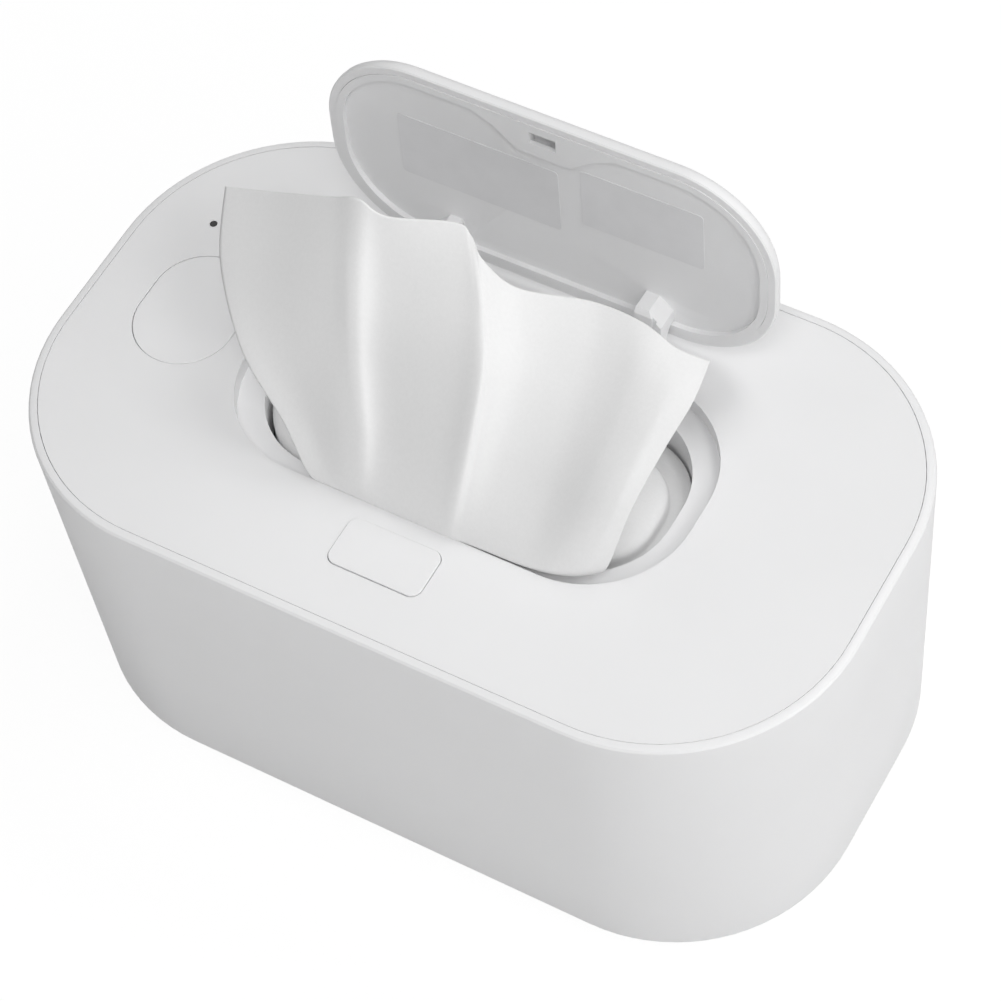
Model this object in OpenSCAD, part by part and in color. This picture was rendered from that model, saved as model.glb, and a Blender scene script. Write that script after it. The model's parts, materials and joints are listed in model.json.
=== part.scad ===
// Baby wipe warmer: a rounded bin with a sprung lift plate, a lift-off heated cover let into
// its rim, and a flip lid that a button on the cover releases. Shown with the lid open and
// a wipe pulled up. The base centre is the origin, Z is up, the button side faces -Y.

/* [Bin] */
// Length of the bin over its rim
body_l = 200; // [190:1:215]
// Depth of the bin over its rim
body_d = 118.5; // [114:0.5:128]
// Height of the bin without its feet
body_h = 90.8; // [86:0.2:105]
// Corner radius at the rim
body_r = 45.5; // [40:0.5:50]
// How much narrower each side is at the base
draft_l = 2.4; // [0:0.1:4]
// How much narrower the front and back are at the base
draft_d = 1; // [0:0.1:3]
// Wall of the outer shell
wall = 2.2; // [1.8:0.1:2.6]
// Thickness of the shell's floor
floor_t = 2.4; // [2:0.1:3]
// Rounding of the bottom edge
heel_r = 2.5; // [1.5:0.1:3.5]
// Rounding of the rim's outer edge
rim_r = 1.2; // [0.6:0.1:1.6]
// Air gap between the shell and the inner bin
bin_gap = 1.5; // [1:0.1:2.2]
// Wall of the inner bin
bin_wall = 1.6; // [1.2:0.1:2]
// Height of the pads in the shell that the inner bin stands on
pad_h = 1.6; // [1.2:0.1:2.4]

/* [Feet and screws] */
// Half the distance between the feet along the length
foot_x = 70; // [62:1:72]
// Half the distance between the feet along the depth
foot_y = 34; // [28:1:36]
// Diameter of a rubber foot
foot_dia = 12.6; // [10:0.2:14]
// How far the feet stand out of the base
foot_drop = 1; // [0.8:0.1:2]
// Depth of the pocket that holds a foot
foot_seat = 0.9; // [0.6:0.1:1.2]
// Shank diameter of the screws that hold the inner bin
bin_screw = 3; // [2.6:0.1:3.4]

/* [Lift plate] */
// Height of the lift plate's top over the floor of the inner bin
lift_h = 21; // [18:0.5:26]
// Thickness of the lift plate
lift_t = 2; // [1.6:0.1:2.6]
// Travel of the lift plate below its rest place
lift_travel = 12; // [8:0.5:13]
// Gap between the lift plate and the inner bin
lift_gap = 1.4; // [0.8:0.1:2]
// Mean radius of a lift spring
lift_coil_r = 6.5; // [5.5:0.5:8]
// Wire diameter of a lift spring
lift_wire = 1.2; // [0.8:0.1:1.4]
// Turns of a lift spring
lift_turns = 5; // [4:1:6]

/* [Cover] */
// Gap between the cover and the shell's wall
cover_gap = 0.12; // [0.1:0.02:0.4]
// Thickness of the cover's top
plate_t = 2.2; // [1.8:0.1:2.6]
// Thickness of the cover's skirt and inner walls
skirt_t = 1.8; // [1.4:0.1:2.2]
// Depth of the skirt below the cover's top
skirt_h = 14.3; // [13.5:0.1:16]
// Thickness of the cover's base
cover_base_t = 1.6; // [1.4:0.1:2]
// Height of the silicone gasket
gasket_h = 1.8; // [1.4:0.1:2.4]
// Width of the silicone gasket
gasket_w = 3; // [2.4:0.1:3.6]

/* [Lid recess and mouth] */
// Length of the recess that the lid closes into
rec_l = 111; // [106:0.5:114]
// Depth of that recess
rec_d = 56; // [54:0.5:59]
// Corner radius of that recess
rec_r = 24; // [20:0.5:26]
// Distance of the recess's centre behind the cover's centre
rec_y = 0.5; // [-1:0.1:1.5]
// Depth of the ledge around the mouth below the cover's top
ledge_drop = 4.5; // [4.3:0.1:5]
// Thickness of that ledge
ledge_t = 2; // [1.6:0.1:2.2]
// Width of the ledge at the mouth's ends
ledge_end = 5.8; // [5:0.1:7]
// Width of the ledge at the mouth's front and back
ledge_side = 5.3; // [4.8:0.1:6]
// Corner radius of the mouth
mouth_r = 20; // [17:0.5:22]
// Depth of the mouth's collar below the cover's top
collar_h = 18; // [17.5:0.1:19]

/* [Lid] */
// Gap between the lid and the recess at the front and the ends
lid_gap = 0.4; // [0.3:0.05:0.6]
// Gap between the lid and the recess at the hinge side
lid_rear_gap = 1.5; // [1.45:0.05:1.8]
// Height of the lid's rim
lid_h = 3.8; // [3.6:0.05:4]
// Wall of the lid's outer shell
lid_wall = 1.3; // [1.1:0.05:1.5]
// Width of the rim that stands around the lid's inner panel
lid_rim = 2; // [1.8:0.1:2.2]
// Rounding of the lid's outer edge
lid_edge = 2.6; // [1.8:0.1:3]
// Width of the raised border inside the lid
border_w = 1.8; // [1.6:0.1:2.2]
// Angle that the open lid stands at
lid_open = 93; // [88:1:96]
// Width of a hinge arm
arm_w = 6.5; // [5.5:0.1:7.5]
// Distance of a hinge arm's inner side from the middle
arm_x = 23.1; // [21:0.1:26]
// Distance of the hinge axis behind the recess
hinge_setback = 7.7; // [7.4:0.1:8.2]
// Depth of the hinge axis below the cover's top
hinge_drop = 4.8; // [4.7:0.05:5.2]
// Diameter of a hinge pin
hinge_pin = 2; // [1.8:0.1:2.2]
// Diameter of the barrel that turns on the pin
barrel_dia = 4.6; // [4.4:0.1:4.8]

/* [Release button and latch] */
// Length of the release button
button_l = 22.9; // [20:0.1:25]
// Depth of the release button
button_d = 12.4; // [11:0.1:13]
// Corner radius of the release button
button_r = 2.5; // [1.5:0.1:3.5]
// Distance of the button's middle in front of the recess
button_setback = 10.7; // [10.2:0.1:11.5]
// How far the button stands over the cover
button_proud = 0.35; // [0:0.05:0.6]
// Gap around the button and the power key
press_gap = 0.15; // [0.12:0.01:0.3]
// Travel of the button, and of the latch that it draws back
button_travel = 1.5; // [1.3:0.05:1.6]
// Width of the latch hook
hook_w = 5.2; // [4:0.1:6]

/* [Power key] */
// Width of the oval power key
key_w = 24; // [20:0.5:26]
// Length of the oval power key
key_l = 31; // [28:0.5:34]
// Distance of the key's middle from the bin's end
key_inset = 26.9; // [25:0.1:29]
// Travel of the power key
key_travel = 0.6; // [0.4:0.05:0.8]
// Diameter of the indicator light at the surface
light_dia = 1.6; // [1.2:0.1:2.4]

/* [Heater] */
// Gap between the heat plate and the wall of the inner bin
heat_gap = 5.5; // [4.5:0.1:7]
// Thickness of the aluminium heat plate
heat_t = 1.4; // [1:0.1:1.6]
// Thickness of the heater film
film_t = 0.3; // [0.2:0.05:0.5]
// Thickness of the insulation pad
pad_t = 2.8; // [2.6:0.1:3.2]

/* [Wipes] */
// Gap between the stack of wipes and the wall of the inner bin
stack_gap = 5; // [3:0.5:8]
// Thickness of the pulled wipe
wipe_t = 0.7; // [0.5:0.1:0.9]

/* [Hidden] */

$fn = 64;
corner_steps = 20;   // flats in a quarter turn of a lofted outline
fit = 0.05;          // radial clearance of a pin that turns in its bore
slip = 0.3;          // clearance of a piece that slides, or of a soft one
touch = 0.1;         // clearance between two seated hard pieces
over = 1;            // how far a cutter runs past what it cuts

top_z = foot_drop + body_h;
inner_floor_z = foot_drop + floor_t + pad_h + bin_wall;
bin_in = wall + bin_gap + bin_wall;              // inner bin's inner face, in from the skin
bin_rim_z = top_z - skirt_h - gasket_h - slip;   // top of the inner bin's flange
bin_flange_t = 1.6;
screw_head_h = 1.4;
small_screw = 2.5;                               // shank of the cover's screws
small_head = 5;

// Outline of the shell's skin at height z, drawn in by `inset`
function skin_share(z) = (top_z - z) / body_h;
function skin_l(z) = body_l - 2 * draft_l * skin_share(z);
function skin_d(z) = body_d - 2 * draft_d * skin_share(z);
function skin_r(z) = body_r - (draft_l + draft_d) / 2 * skin_share(z);
function ring(l, d, r, z, y = 0) = [
  for (c = [0:3]) for (i = [0:corner_steps])
    let (a = 90 * (c + i / corner_steps), sx = (c == 0 || c == 3) ? 1 : -1, sy = c < 2 ? 1 : -1)
      [sx * (l / 2 - r) + r * cos(a), y + sy * (d / 2 - r) + r * sin(a), z]];
// Ring whose left and right ends differ in place and corner radius
function fold_ring(left, right, d, r0, r1, z, y) = [
  for (c = [0:3]) for (i = [0:corner_steps])
    let (a = 90 * (c + i / corner_steps), far = (c == 0 || c == 3), sy = c < 2 ? 1 : -1,
         r = far ? r1 : r0)
      [(far ? right - r : left + r) + r * cos(a), y + sy * (d / 2 - r) + r * sin(a), z]];
function skin_ring(z, inset) =
  ring(skin_l(z) - 2 * inset, skin_d(z) - 2 * inset, skin_r(z) - inset, z);

// Closed solid through rings that have the same number of points each
module loft(rings) {
  n = len(rings[0]);
  last = len(rings) - 1;
  points = [for (r = rings) each r];
  sides = [for (k = [0:last - 1]) for (i = [0:n - 1])
    let (j = (i + 1) % n, a = k * n + i, b = k * n + j)
      each [[a, a + n, b + n], [a, b + n, b]]];
  floor_cap = [[for (i = [0:n - 1]) i]];
  roof_cap = [[for (i = [n - 1:-1:0]) last * n + i]];
  polyhedron(points = points, faces = concat(floor_cap, sides, roof_cap), convexity = 8);
}

// Wire of diameter w along a path, whose steps never run along `across`
function unit(v) = v / norm(v);
function wire_ring(path, k, w, across) =
  let (a = path[max(k - 1, 0)], b = path[min(k + 1, len(path) - 1)],
       run = unit(b - a), u = unit(cross(across, run)), v = cross(run, u))
    [for (j = [0:5]) path[k] + w / 2 * (cos(60 * j) * u + sin(60 * j) * v)];
module wire(path, w, across = [0, 0, 1]) {
  loft([for (k = [0:len(path) - 1]) wire_ring(path, k, w, across)]);
}
function helix(r, z0, z1, turns) =
  [for (k = [0:8 * turns]) [r * cos(45 * k), r * sin(45 * k), z0 + (z1 - z0) * k / (8 * turns)]];
module coil(r, w, z0, z1, turns) {
  wire(helix(r, z0 + w / 2, z1 - w / 2, turns), w);
}

// Flat shapes
module rounded(l, d, r) {
  square([l, d - 2 * r], center = true);
  square([l - 2 * r, d], center = true);
  for (x = [-1, 1], y = [-1, 1])
    translate([x * (l / 2 - r), y * (d / 2 - r)]) circle(r);
}
module slab(l, d, r, z0, z1) {
  translate([0, 0, z0]) linear_extrude(z1 - z0) rounded(l, d, r);
}
module post(x, y, dia, z0, z1) {
  translate([x, y, z0]) cylinder(h = z1 - z0, d = dia);
}
module block(x0, x1, y0, y1, z0, z1) {
  translate([x0, y0, z0]) cube([x1 - x0, y1 - y0, z1 - z0]);
}
// A side view in Y and Z, drawn out along X
module along_x(x0, x1) {
  translate([x0, 0, 0]) rotate([90, 0, 90]) linear_extrude(x1 - x0) children();
}
module screw(x, y, dia, head, z_head, z_tip) {
  lift = z_tip > z_head ? 1 : -1;
  translate([x, y, z_head]) mirror([0, 0, lift > 0 ? 0 : 1]) {
    cylinder(h = abs(z_tip - z_head), d = dia);
    translate([0, 0, -screw_head_h]) difference() {
      cylinder(h = screw_head_h, d = head);
      translate([0, 0, -over]) for (a = [0, 90])
        rotate(a) translate([-head / 4, -0.4, 0]) cube([head / 2, 0.8, over + 0.7]);
    }
  }
}

/* Bin */

feet = [for (x = [-foot_x, foot_x], y = [-foot_y, foot_y]) [x, y]];
foot_well_z = foot_drop + foot_seat;             // roof of the pocket over a foot
bin_screw_z = foot_well_z + screw_head_h + 0.2;  // face that the screw's head bears on
usb_x = -50;
usb_z = top_z - 6.6;
usb_window_l = 13;
usb_window_h = 7;

module outer_shell() {
  heel = [for (a = [0:30:90])
    skin_ring(foot_drop + heel_r * (1 - cos(a)), heel_r * (1 - sin(a)))];
  rim = [for (a = [0:30:90])
    skin_ring(top_z - rim_r * (1 - sin(a)), rim_r * (1 - cos(a)))];
  inside = [skin_ring(top_z, wall), skin_ring(foot_drop + floor_t, wall)];
  color("white") difference() {
    union() {
      loft(concat(heel, rim, inside));
      for (f = feet)
        post(f[0], f[1], foot_dia, foot_drop + floor_t / 2, foot_drop + floor_t + pad_h);
    }
    for (f = feet) {
      post(f[0], f[1], foot_dia + 0.4, foot_drop - over, foot_well_z);
      post(f[0], f[1], 6.2, foot_drop, bin_screw_z);
      post(f[0], f[1], bin_screw + 0.4, foot_drop, top_z);
    }
    translate([usb_x, body_d / 2 + over, usb_z]) rotate([90, 0, 0])
      linear_extrude(wall + bin_gap + 2 * over)
        rounded(usb_window_l, usb_window_h, usb_window_h / 2 - 0.01);
  }
}

spring_x = 48;
spring_y = 22;
springs_at = [for (x = [-spring_x, spring_x], y = [-spring_y, spring_y]) [x, y]];
bin_boss_h = 6;

module inner_bin() {
  bottom_z = inner_floor_z - bin_wall;
  outer = wall + bin_gap;
  color("whitesmoke") difference() {
    union() {
      loft([
        skin_ring(bottom_z, outer + 1.5),
        skin_ring(bottom_z + 1.5, outer),
        skin_ring(bin_rim_z - bin_flange_t, outer),
        skin_ring(bin_rim_z - bin_flange_t, wall + slip),
        skin_ring(bin_rim_z, wall + slip),
        skin_ring(bin_rim_z, bin_in),
        skin_ring(inner_floor_z + 1.5, bin_in),
        skin_ring(inner_floor_z, bin_in + 1.5)]);
      for (f = feet)
        post(f[0], f[1], 8, inner_floor_z - bin_wall / 2, inner_floor_z + bin_boss_h);
      for (s = springs_at)
        post(s[0], s[1], 2 * lift_coil_r - lift_wire - 1,
          inner_floor_z - bin_wall / 2, inner_floor_z + 4);
    }
    for (f = feet)
      post(f[0], f[1], bin_screw + 2 * fit, bottom_z - over, inner_floor_z + bin_boss_h - 1);
  }
}

module bin_screws() {
  color("silver") for (f = feet)
    screw(f[0], f[1], bin_screw, 5.6, bin_screw_z, inner_floor_z + bin_boss_h - 1.5);
}

// Rubber foot, standing on z = 0 and seated in the pocket of the shell
module foot(at) {
  r = foot_dia / 2;
  color("dimgray") translate([at[0], at[1], 0]) rotate_extrude()
    polygon([[0, 0], [r - 0.9, 0], [r - 0.4, 0.3], [r, 0.9], [r, foot_well_z - touch],
      [0, foot_well_z - touch]]);
}

/* Lift plate and wipes */

lift_top_z = inner_floor_z + lift_h;
lift_low_z = lift_top_z - lift_t;
heat_z = top_z - skirt_h - pad_t - film_t - heat_t;   // underside of the heat plate
stack_top_z = heat_z - screw_head_h - 1;
mouth_l = rec_l - 2 * ledge_end;
mouth_d = rec_d - 2 * ledge_side;

module lift_springs() {
  color("silver") for (s = springs_at) translate([s[0], s[1], 0])
    coil(lift_coil_r, lift_wire, inner_floor_z + touch, lift_low_z - touch, lift_turns);
}

module lift_plate() {
  inset = bin_in + lift_gap;
  z = lift_low_z - lift_travel;
  color("gainsboro") {
    slab(skin_l(z) - 2 * inset, skin_d(z) - 2 * inset, skin_r(z) - inset, lift_low_z, lift_top_z);
    for (s = springs_at) difference() {
      post(s[0], s[1], 2 * lift_coil_r + lift_wire + 4, lift_low_z - 2.5, lift_low_z + touch);
      post(s[0], s[1], 2 * lift_coil_r + lift_wire + 1, lift_low_z - 2.5 - over, lift_low_z);
    }
  }
}

swell_z = top_z - 13;                            // foot of the top fold in the mouth

// Folded stack, whose top wipe swells up into the mouth, fuller at its left end
module wipe_stack() {
  inset = bin_in + stack_gap;
  l = skin_l(lift_top_z) - 2 * inset;
  d = skin_d(lift_top_z) - 2 * inset;
  r = skin_r(lift_top_z) - inset;
  low = lift_top_z + slip;
  swell_y = rec_y + 2.3;
  end = mouth_l / 2 - 1.2;
  fold_y = rec_y - 1;
  color("white") loft([
    ring(l - 5, d - 5, r - 2, low),
    ring(l, d, r, low + 3),
    ring(l, d, r, stack_top_z - 5),
    ring(l - 2, d - 2, r - 1, stack_top_z - 2),
    ring(l - 8, d - 8, r - 4, stack_top_z),
    fold_ring(-end, end, mouth_d - 8, 16, 16, stack_top_z + 0.6, swell_y),
    fold_ring(-end, end, mouth_d - 8, 16, 16, swell_z, swell_y),
    fold_ring(1 - end, end - 1, mouth_d - 10, 15, 15, swell_z + 0.8, swell_y),
    fold_ring(1.2 - end, end - 3, mouth_d - 15.4, 9.5, 13, swell_z + 1.2, fold_y),
    fold_ring(1.2 - end, end - 3, mouth_d - 15.4, 9.5, 13, swell_z + 3.5, fold_y),
    fold_ring(1.8 - end, end - 4.5, mouth_d - 18.4, 8.5, 12, swell_z + 5, fold_y),
    fold_ring(4 - end, end - 8.5, mouth_d - 24.4, 6.5, 8, swell_z + 6, fold_y),
    fold_ring(10 - end, end - 16.5, mouth_d - 33.4, 4, 4, swell_z + 6.3, fold_y)]);
}

/* Cover */

cover_in = wall + cover_gap;
cover_l = body_l - 2 * cover_in;
cover_d = body_d - 2 * cover_in;
cover_r = body_r - cover_in;
skirt_in = 0.8;                                   // skirt's face, in from the cover's edge
under_z = top_z - plate_t;                        // underside of the cover's top
skirt_z = top_z - skirt_h;
deck_z = skirt_z + cover_base_t;                  // top of the cover's base
ledge_z = top_z - ledge_drop;
rec_front = rec_y - rec_d / 2;
rec_rear = rec_y + rec_d / 2;
mouth_front = rec_y - mouth_d / 2;
hinge_y = rec_rear + hinge_setback;
hinge_z = top_z - hinge_drop;
button_y = rec_front - button_setback;
key_x = key_inset - body_l / 2;
key_y = 0.3;
light_at = [key_x - 9, key_y + 23];
boss_dia = 6.4;
side_boss = [body_l / 2 - 26, body_d / 2 - 25];
cover_bosses = [for (x = [-1, 1], y = [-1, 1]) [x * side_boss[0], y * side_boss[1]],
  [0, body_d / 2 - 11], [-33, 15 - body_d / 2], [33, 15 - body_d / 2]];
heat_bosses = [for (x = [-60, 60], y = [-1, 1]) [x, y * (body_d / 2 - 19.5)]];
latch_slot = [hook_w + 1.6, 4.8];
hook_y = mouth_front + 1.2;                       // front face of the latch hook at rest
ear_t = 2;
spring_room = 8;                                  // room for a torsion spring beside an arm
slot_side = 0.7;                                  // side clearance of a hinge arm in its slot

module mouth_shape(grow = 0) {
  tip = mouth_front + 5.7 - grow;
  base = mouth_front - 1 - grow;
  difference() {
    rounded(mouth_l + 2 * grow, mouth_d + 2 * grow, mouth_r + grow);
    translate([0, -rec_y]) polygon([[-17 + grow, base], [17 - grow, base],
      [6.8 - grow / 2, tip], [-6.8 + grow / 2, tip]]);
  }
}
module mouth_column(grow, z0, z1) {
  translate([0, rec_y, z0]) linear_extrude(z1 - z0) mouth_shape(grow);
}
module recess_column(grow, z0, z1) {
  translate([0, rec_y, z0]) linear_extrude(z1 - z0)
    rounded(rec_l + 2 * grow, rec_d + 2 * grow, rec_r + grow);
}
module oval(w, l, z0, z1) {
  for (s = [-1, 1]) translate([key_x, key_y + s * (l - w) / 2, z0])
    cylinder(h = z1 - z0, d = w, $fn = 96);
  translate([key_x, key_y, (z0 + z1) / 2]) cube([w, l - w, z1 - z0], center = true);
}
module cover_column(inset, z0, z1) {
  slab(cover_l - 2 * inset, cover_d - 2 * inset, cover_r - inset, z0, z1);
}

module cover_plate() {
  ear_y = barrel_dia / 2;
  ears = [arm_x - slot_side - spring_room - ear_t, arm_x + arm_w + slot_side / 2];
  color("white") difference() {
    union() {
      cover_column(0, under_z, top_z);
      difference() {
        cover_column(skirt_in, skirt_z, under_z + touch);
        cover_column(skirt_in + skirt_t, skirt_z - over, under_z);
      }
      recess_column(skirt_t, ledge_z - ledge_t, under_z + touch);
      mouth_column(skirt_t, top_z - collar_h, ledge_z - ledge_t + touch);
      for (b = cover_bosses) post(b[0], b[1], boss_dia, deck_z, under_z + touch);
      for (s = [-1, 1], x = ears) {
        x0 = s > 0 ? x : -x - ear_t;
        block(x0, x0 + ear_t, hinge_y - ear_y, hinge_y + ear_y, hinge_z - ear_y, under_z + touch);
      }
    }
    recess_column(0, ledge_z, top_z + over);
    mouth_column(0, top_z - collar_h - over, ledge_z + over);
    for (b = cover_bosses) post(b[0], b[1], small_screw + 2 * fit, deck_z - over, deck_z + 7);
    oval(key_w + 2 * press_gap, key_l + 2 * press_gap, under_z - over, top_z + over);
    post(light_at[0], light_at[1], light_dia + 2 * touch, under_z - over, top_z + over);
    translate([0, button_y, 0])
      slab(button_l + 2 * press_gap, button_d + 2 * press_gap, button_r + press_gap,
        under_z - over, top_z + over);
    for (s = [-1, 1]) {
      x0 = s > 0 ? arm_x - slot_side : -arm_x - arm_w - slot_side;
      block(x0, x0 + arm_w + 2 * slot_side, rec_rear - 8, hinge_y - 0.6,
        top_z - hinge_drop - 6, top_z + over);
    }
    translate([0, 0, hinge_z]) along_x(-arm_x - 20, arm_x + 20)
      translate([hinge_y, 0]) circle(d = hinge_pin + 0.4 * fit);
    block(-latch_slot[0] / 2, latch_slot[0] / 2, hook_y - button_travel - 0.9,
      hook_y - button_travel - 0.9 + latch_slot[1], ledge_z - ledge_t - over, ledge_z + over);
    block(usb_x - 4.8, usb_x + 4.8, cover_d / 2 - skirt_in - skirt_t - over, cover_d / 2,
      usb_z - 1.8, usb_z + 1.8);
  }
}

board_t = 1.6;
board_z = deck_z + 2.9;                           // underside of the control board
board_top = board_z + board_t;
board_rear = body_d / 2 - 8;
board_holes = [[key_x - 11, -19], [key_x + 8, -19], [usb_x + 8, body_d / 2 - 10.5]];
lead_x = [key_x + 7, key_x + 11];
lead_y = 17 - body_d / 2 + 8.5;

module cover_base() {
  inset = skirt_in + skirt_t + 0.25;
  color("whitesmoke") difference() {
    union() {
      cover_column(inset, skirt_z, deck_z);
      for (b = board_holes) post(b[0], b[1], 5, deck_z - touch, board_z);
      for (b = heat_bosses) post(b[0], b[1], 6, skirt_z - pad_t + touch, deck_z);
      post(0, button_y, 5, deck_z - touch, deck_z + 1.6);
      for (s = [-1, 1]) {
        block(s * 8 - 1.2, s * 8 + 1.2, button_y - 7, button_y + 13, deck_z - touch, slider_z - touch);
        block(s * 10.1 - 0.7, s * 10.1 + 0.7, button_y - 7, button_y + 8, deck_z - touch, slider_z + 3);
      }
    }
    mouth_column(skirt_t + slip, skirt_z - over, deck_z + over);
    for (b = cover_bosses) post(b[0], b[1], small_screw + 0.4, skirt_z - over, deck_z + over);
    for (b = heat_bosses)
      post(b[0], b[1], small_screw + 2 * fit, skirt_z - pad_t - over, deck_z - 0.4);
    for (b = board_holes) post(b[0], b[1], 2 + 2 * fit, deck_z - 0.6, board_z + over);
    for (x = lead_x) post(x, lead_y, 3, skirt_z - over, deck_z + over);
  }
}

module cover_screws() {
  color("silver") for (b = cover_bosses)
    screw(b[0], b[1], small_screw, small_head, skirt_z, deck_z + 6.5);
}

module cover_gasket() {
  color("lightgray") difference() {
    cover_column(skirt_in, skirt_z - gasket_h, skirt_z);
    cover_column(skirt_in + gasket_w, skirt_z - gasket_h - over, skirt_z + over);
  }
}

module heat_outline(z0, z1) {
  inset = bin_in + heat_gap;
  difference() {
    slab(skin_l(heat_z) - 2 * inset, skin_d(heat_z) - 2 * inset, skin_r(heat_z) - inset, z0, z1);
    mouth_column(skirt_t + slip, z0 - over, z1 + over);
  }
}
fuse_at = [key_x + 1, -8];
thermistor_at = [key_x + 1, 12];

module insulation_pad() {
  z0 = skirt_z - pad_t;
  color("dimgray") difference() {
    heat_outline(z0, skirt_z - touch);
    for (b = heat_bosses) post(b[0], b[1], 6.6, z0 - over, skirt_z + over);
    for (b = cover_bosses) post(b[0], b[1], small_head + 1, z0 - over, skirt_z + over);
    for (x = lead_x) post(x, lead_y, 3.4, z0 - over, skirt_z + over);
    block(fuse_at[0] - 2, fuse_at[0] + 2, fuse_at[1] - 7, fuse_at[1] + 7, z0 - over, skirt_z + over);
    post(thermistor_at[0], thermistor_at[1], 4.4, z0 - over, skirt_z + over);
  }
}

module heater_film() {
  z1 = skirt_z - pad_t;
  color("goldenrod") difference() {
    heat_outline(z1 - film_t, z1);
    for (b = heat_bosses) post(b[0], b[1], 6.6, z1 - film_t - over, z1 + over);
  }
}

module heat_plate() {
  color("silver") difference() {
    heat_outline(heat_z, heat_z + heat_t);
    for (b = heat_bosses) post(b[0], b[1], small_screw + 0.4, heat_z - over, heat_z + heat_t + over);
  }
}

module heat_plate_screws() {
  color("silver") for (b = heat_bosses)
    screw(b[0], b[1], small_screw, small_head, heat_z, deck_z - 0.8);
}

/* Electronics */

module control_board() {
  color("seagreen") difference() {
    translate([0, 0, board_z]) linear_extrude(board_t) {
      translate([key_x - 15, -24]) square([27, 52]);
      translate([key_x + 7, 20]) square([7, 20]);
      translate([key_x + 7, rec_rear + 3]) square([usb_x + 5 - key_x, board_rear - rec_rear - 3]);
    }
    for (b = board_holes) post(b[0], b[1], 2.4, board_z - over, board_top + over);
  }
}

module board_screws() {
  color("silver") for (b = board_holes)
    screw(b[0], b[1], 2, 4, board_top, deck_z);
}

module board_parts() {
  color("#303030") {
    block(key_x - 12, key_x - 6, 12, 18, board_top, board_top + 1.2);
    block(key_x + 2, key_x + 7, 13, 17, board_top, board_top + 1.5);
    for (x = [-12, -8.5]) post(key_x + x, 6.5, 2.6, board_top, board_top + 3);
    block(lead_x[0] - 1.5, lead_x[1] + 1.5 - 4, -13, -10, board_top, board_top + 2.2);
    block(usb_x - 9, usb_x - 6.5, 37, 41, board_top, board_top + 1.4);
  }
}

// Receptacle with its contact tongue
module usb_socket() {
  rear = cover_d / 2 - skirt_in;
  depth = 7.3;
  color("silver") translate([usb_x, rear, usb_z]) rotate([90, 0, 0]) {
    difference() {
      linear_extrude(depth) rounded(9, 3.2, 1.55);
      translate([0, 0, -over]) linear_extrude(depth + over - 0.6) rounded(8.4, 2.6, 1.25);
    }
    translate([-3.3, -0.35, 1]) cube([6.6, 0.7, depth - 1.3]);
  }
}

switch_h = 3.1;
module tact_switch() {
  color("#404040") {
    block(key_x - 3, key_x + 3, key_y - 3, key_y + 3, board_top, board_top + switch_h);
    post(key_x, key_y, 3.4, board_top + switch_h - touch, board_top + switch_h + 0.5);
  }
}

module indicator_led() {
  color("lightyellow")
    block(light_at[0] - 1.3, light_at[0] + 1.3, light_at[1] - 0.9, light_at[1] + 0.9,
      board_top, board_top + 0.8);
}

module light_pipe() {
  color("black") {
    post(light_at[0], light_at[1], light_dia, under_z - touch - 0.1, top_z);
    post(light_at[0], light_at[1], light_dia + 2.2, board_top + 1.1, under_z - touch);
  }
}

module thermistor() {
  color("#202020") translate([thermistor_at[0], thermistor_at[1], skirt_z - pad_t])
    rotate_extrude() polygon([[0, 0], [1.4, 0], [1.4, 0.8], [0.9, 1.6], [0, 1.9]]);
}

module thermal_fuse() {
  color("tan") translate([fuse_at[0], fuse_at[1] - 4.5, skirt_z - pad_t + 1.2 + touch])
    rotate([-90, 0, 0]) {
      cylinder(h = 9, d = 2.4);
      translate([0, 0, -2]) cylinder(h = 13, d = 0.6);
    }
}

module heater_leads() {
  color("firebrick") for (x = lead_x) wire([
    [x, -22.6, board_top + 0.75],
    [x, -25, board_top + 0.7],
    [x, -28, board_top - 0.4],
    [x, lead_y + 2.4, board_z - 1],
    [x, lead_y + 0.5, deck_z + 0.2],
    [x, lead_y, skirt_z - 0.6],
    [x, lead_y + 0.1, skirt_z - pad_t + 1.4],
    [x, lead_y + 1, skirt_z - pad_t + 0.65]], 1.1, [1, 0, 0]);
}

/* Lid */

lid_l = rec_l - 2 * lid_gap;
lid_d = rec_d - lid_gap - lid_rear_gap;
lid_r = rec_r - lid_gap;
lid_y = rec_front + lid_gap + lid_d / 2;
liner_in = lid_rim + 0.06;                        // liner's edge, in from the lid's edge
liner_roof = 1.5;                                 // depth of the liner's top below the lid's top
liner_t = 1.2;
border_h = 1.3;                                   // height of the border over the liner's floor
liner_floor = liner_roof + liner_t;
arm_root = lid_y + 16.3;                          // front face of a hinge arm on the closed lid
arm_drop = 8.7;
arm_cut = 3.3;                                    // cut off the arm's front outer corner
groove_w = 1;
groove_deep = 0.6;
// Half widths of the latch tab, each with its distance from the lid's front edge
tab = [[19, liner_in + 1], [17.5, liner_in + border_w], [12, 6.5], [6.5, 11.2]];
label_t = 0.12;
// Left, right, front and rear edges of the labels, from the lid's middle
label_left = [-37.5, 2.5, -11.5, 7];
label_right = [8, 37.5, -15, 2];

// Takes what is drawn on the closed lid to the open lid's place
module opened() {
  translate([0, hinge_y, hinge_z]) rotate([-lid_open, 0, 0])
    translate([0, -hinge_y, -hinge_z]) children();
}
function lid_ring(inset, drop) =
  ring(lid_l - 2 * inset, lid_d - 2 * inset, lid_r - inset, top_z - drop, lid_y);

module lid_shell() {
  edge = [for (a = [0:22.5:90])
    lid_ring(lid_edge * (1 - cos(a)), lid_edge * (1 - sin(a)))];
  color("white") opened() loft(concat([
    lid_ring(lid_rim, lid_wall + 0.1),
    lid_ring(lid_rim, lid_h),
    lid_ring(0.3, lid_h),
    lid_ring(0, lid_h - 0.3)], edge));
}

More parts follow.
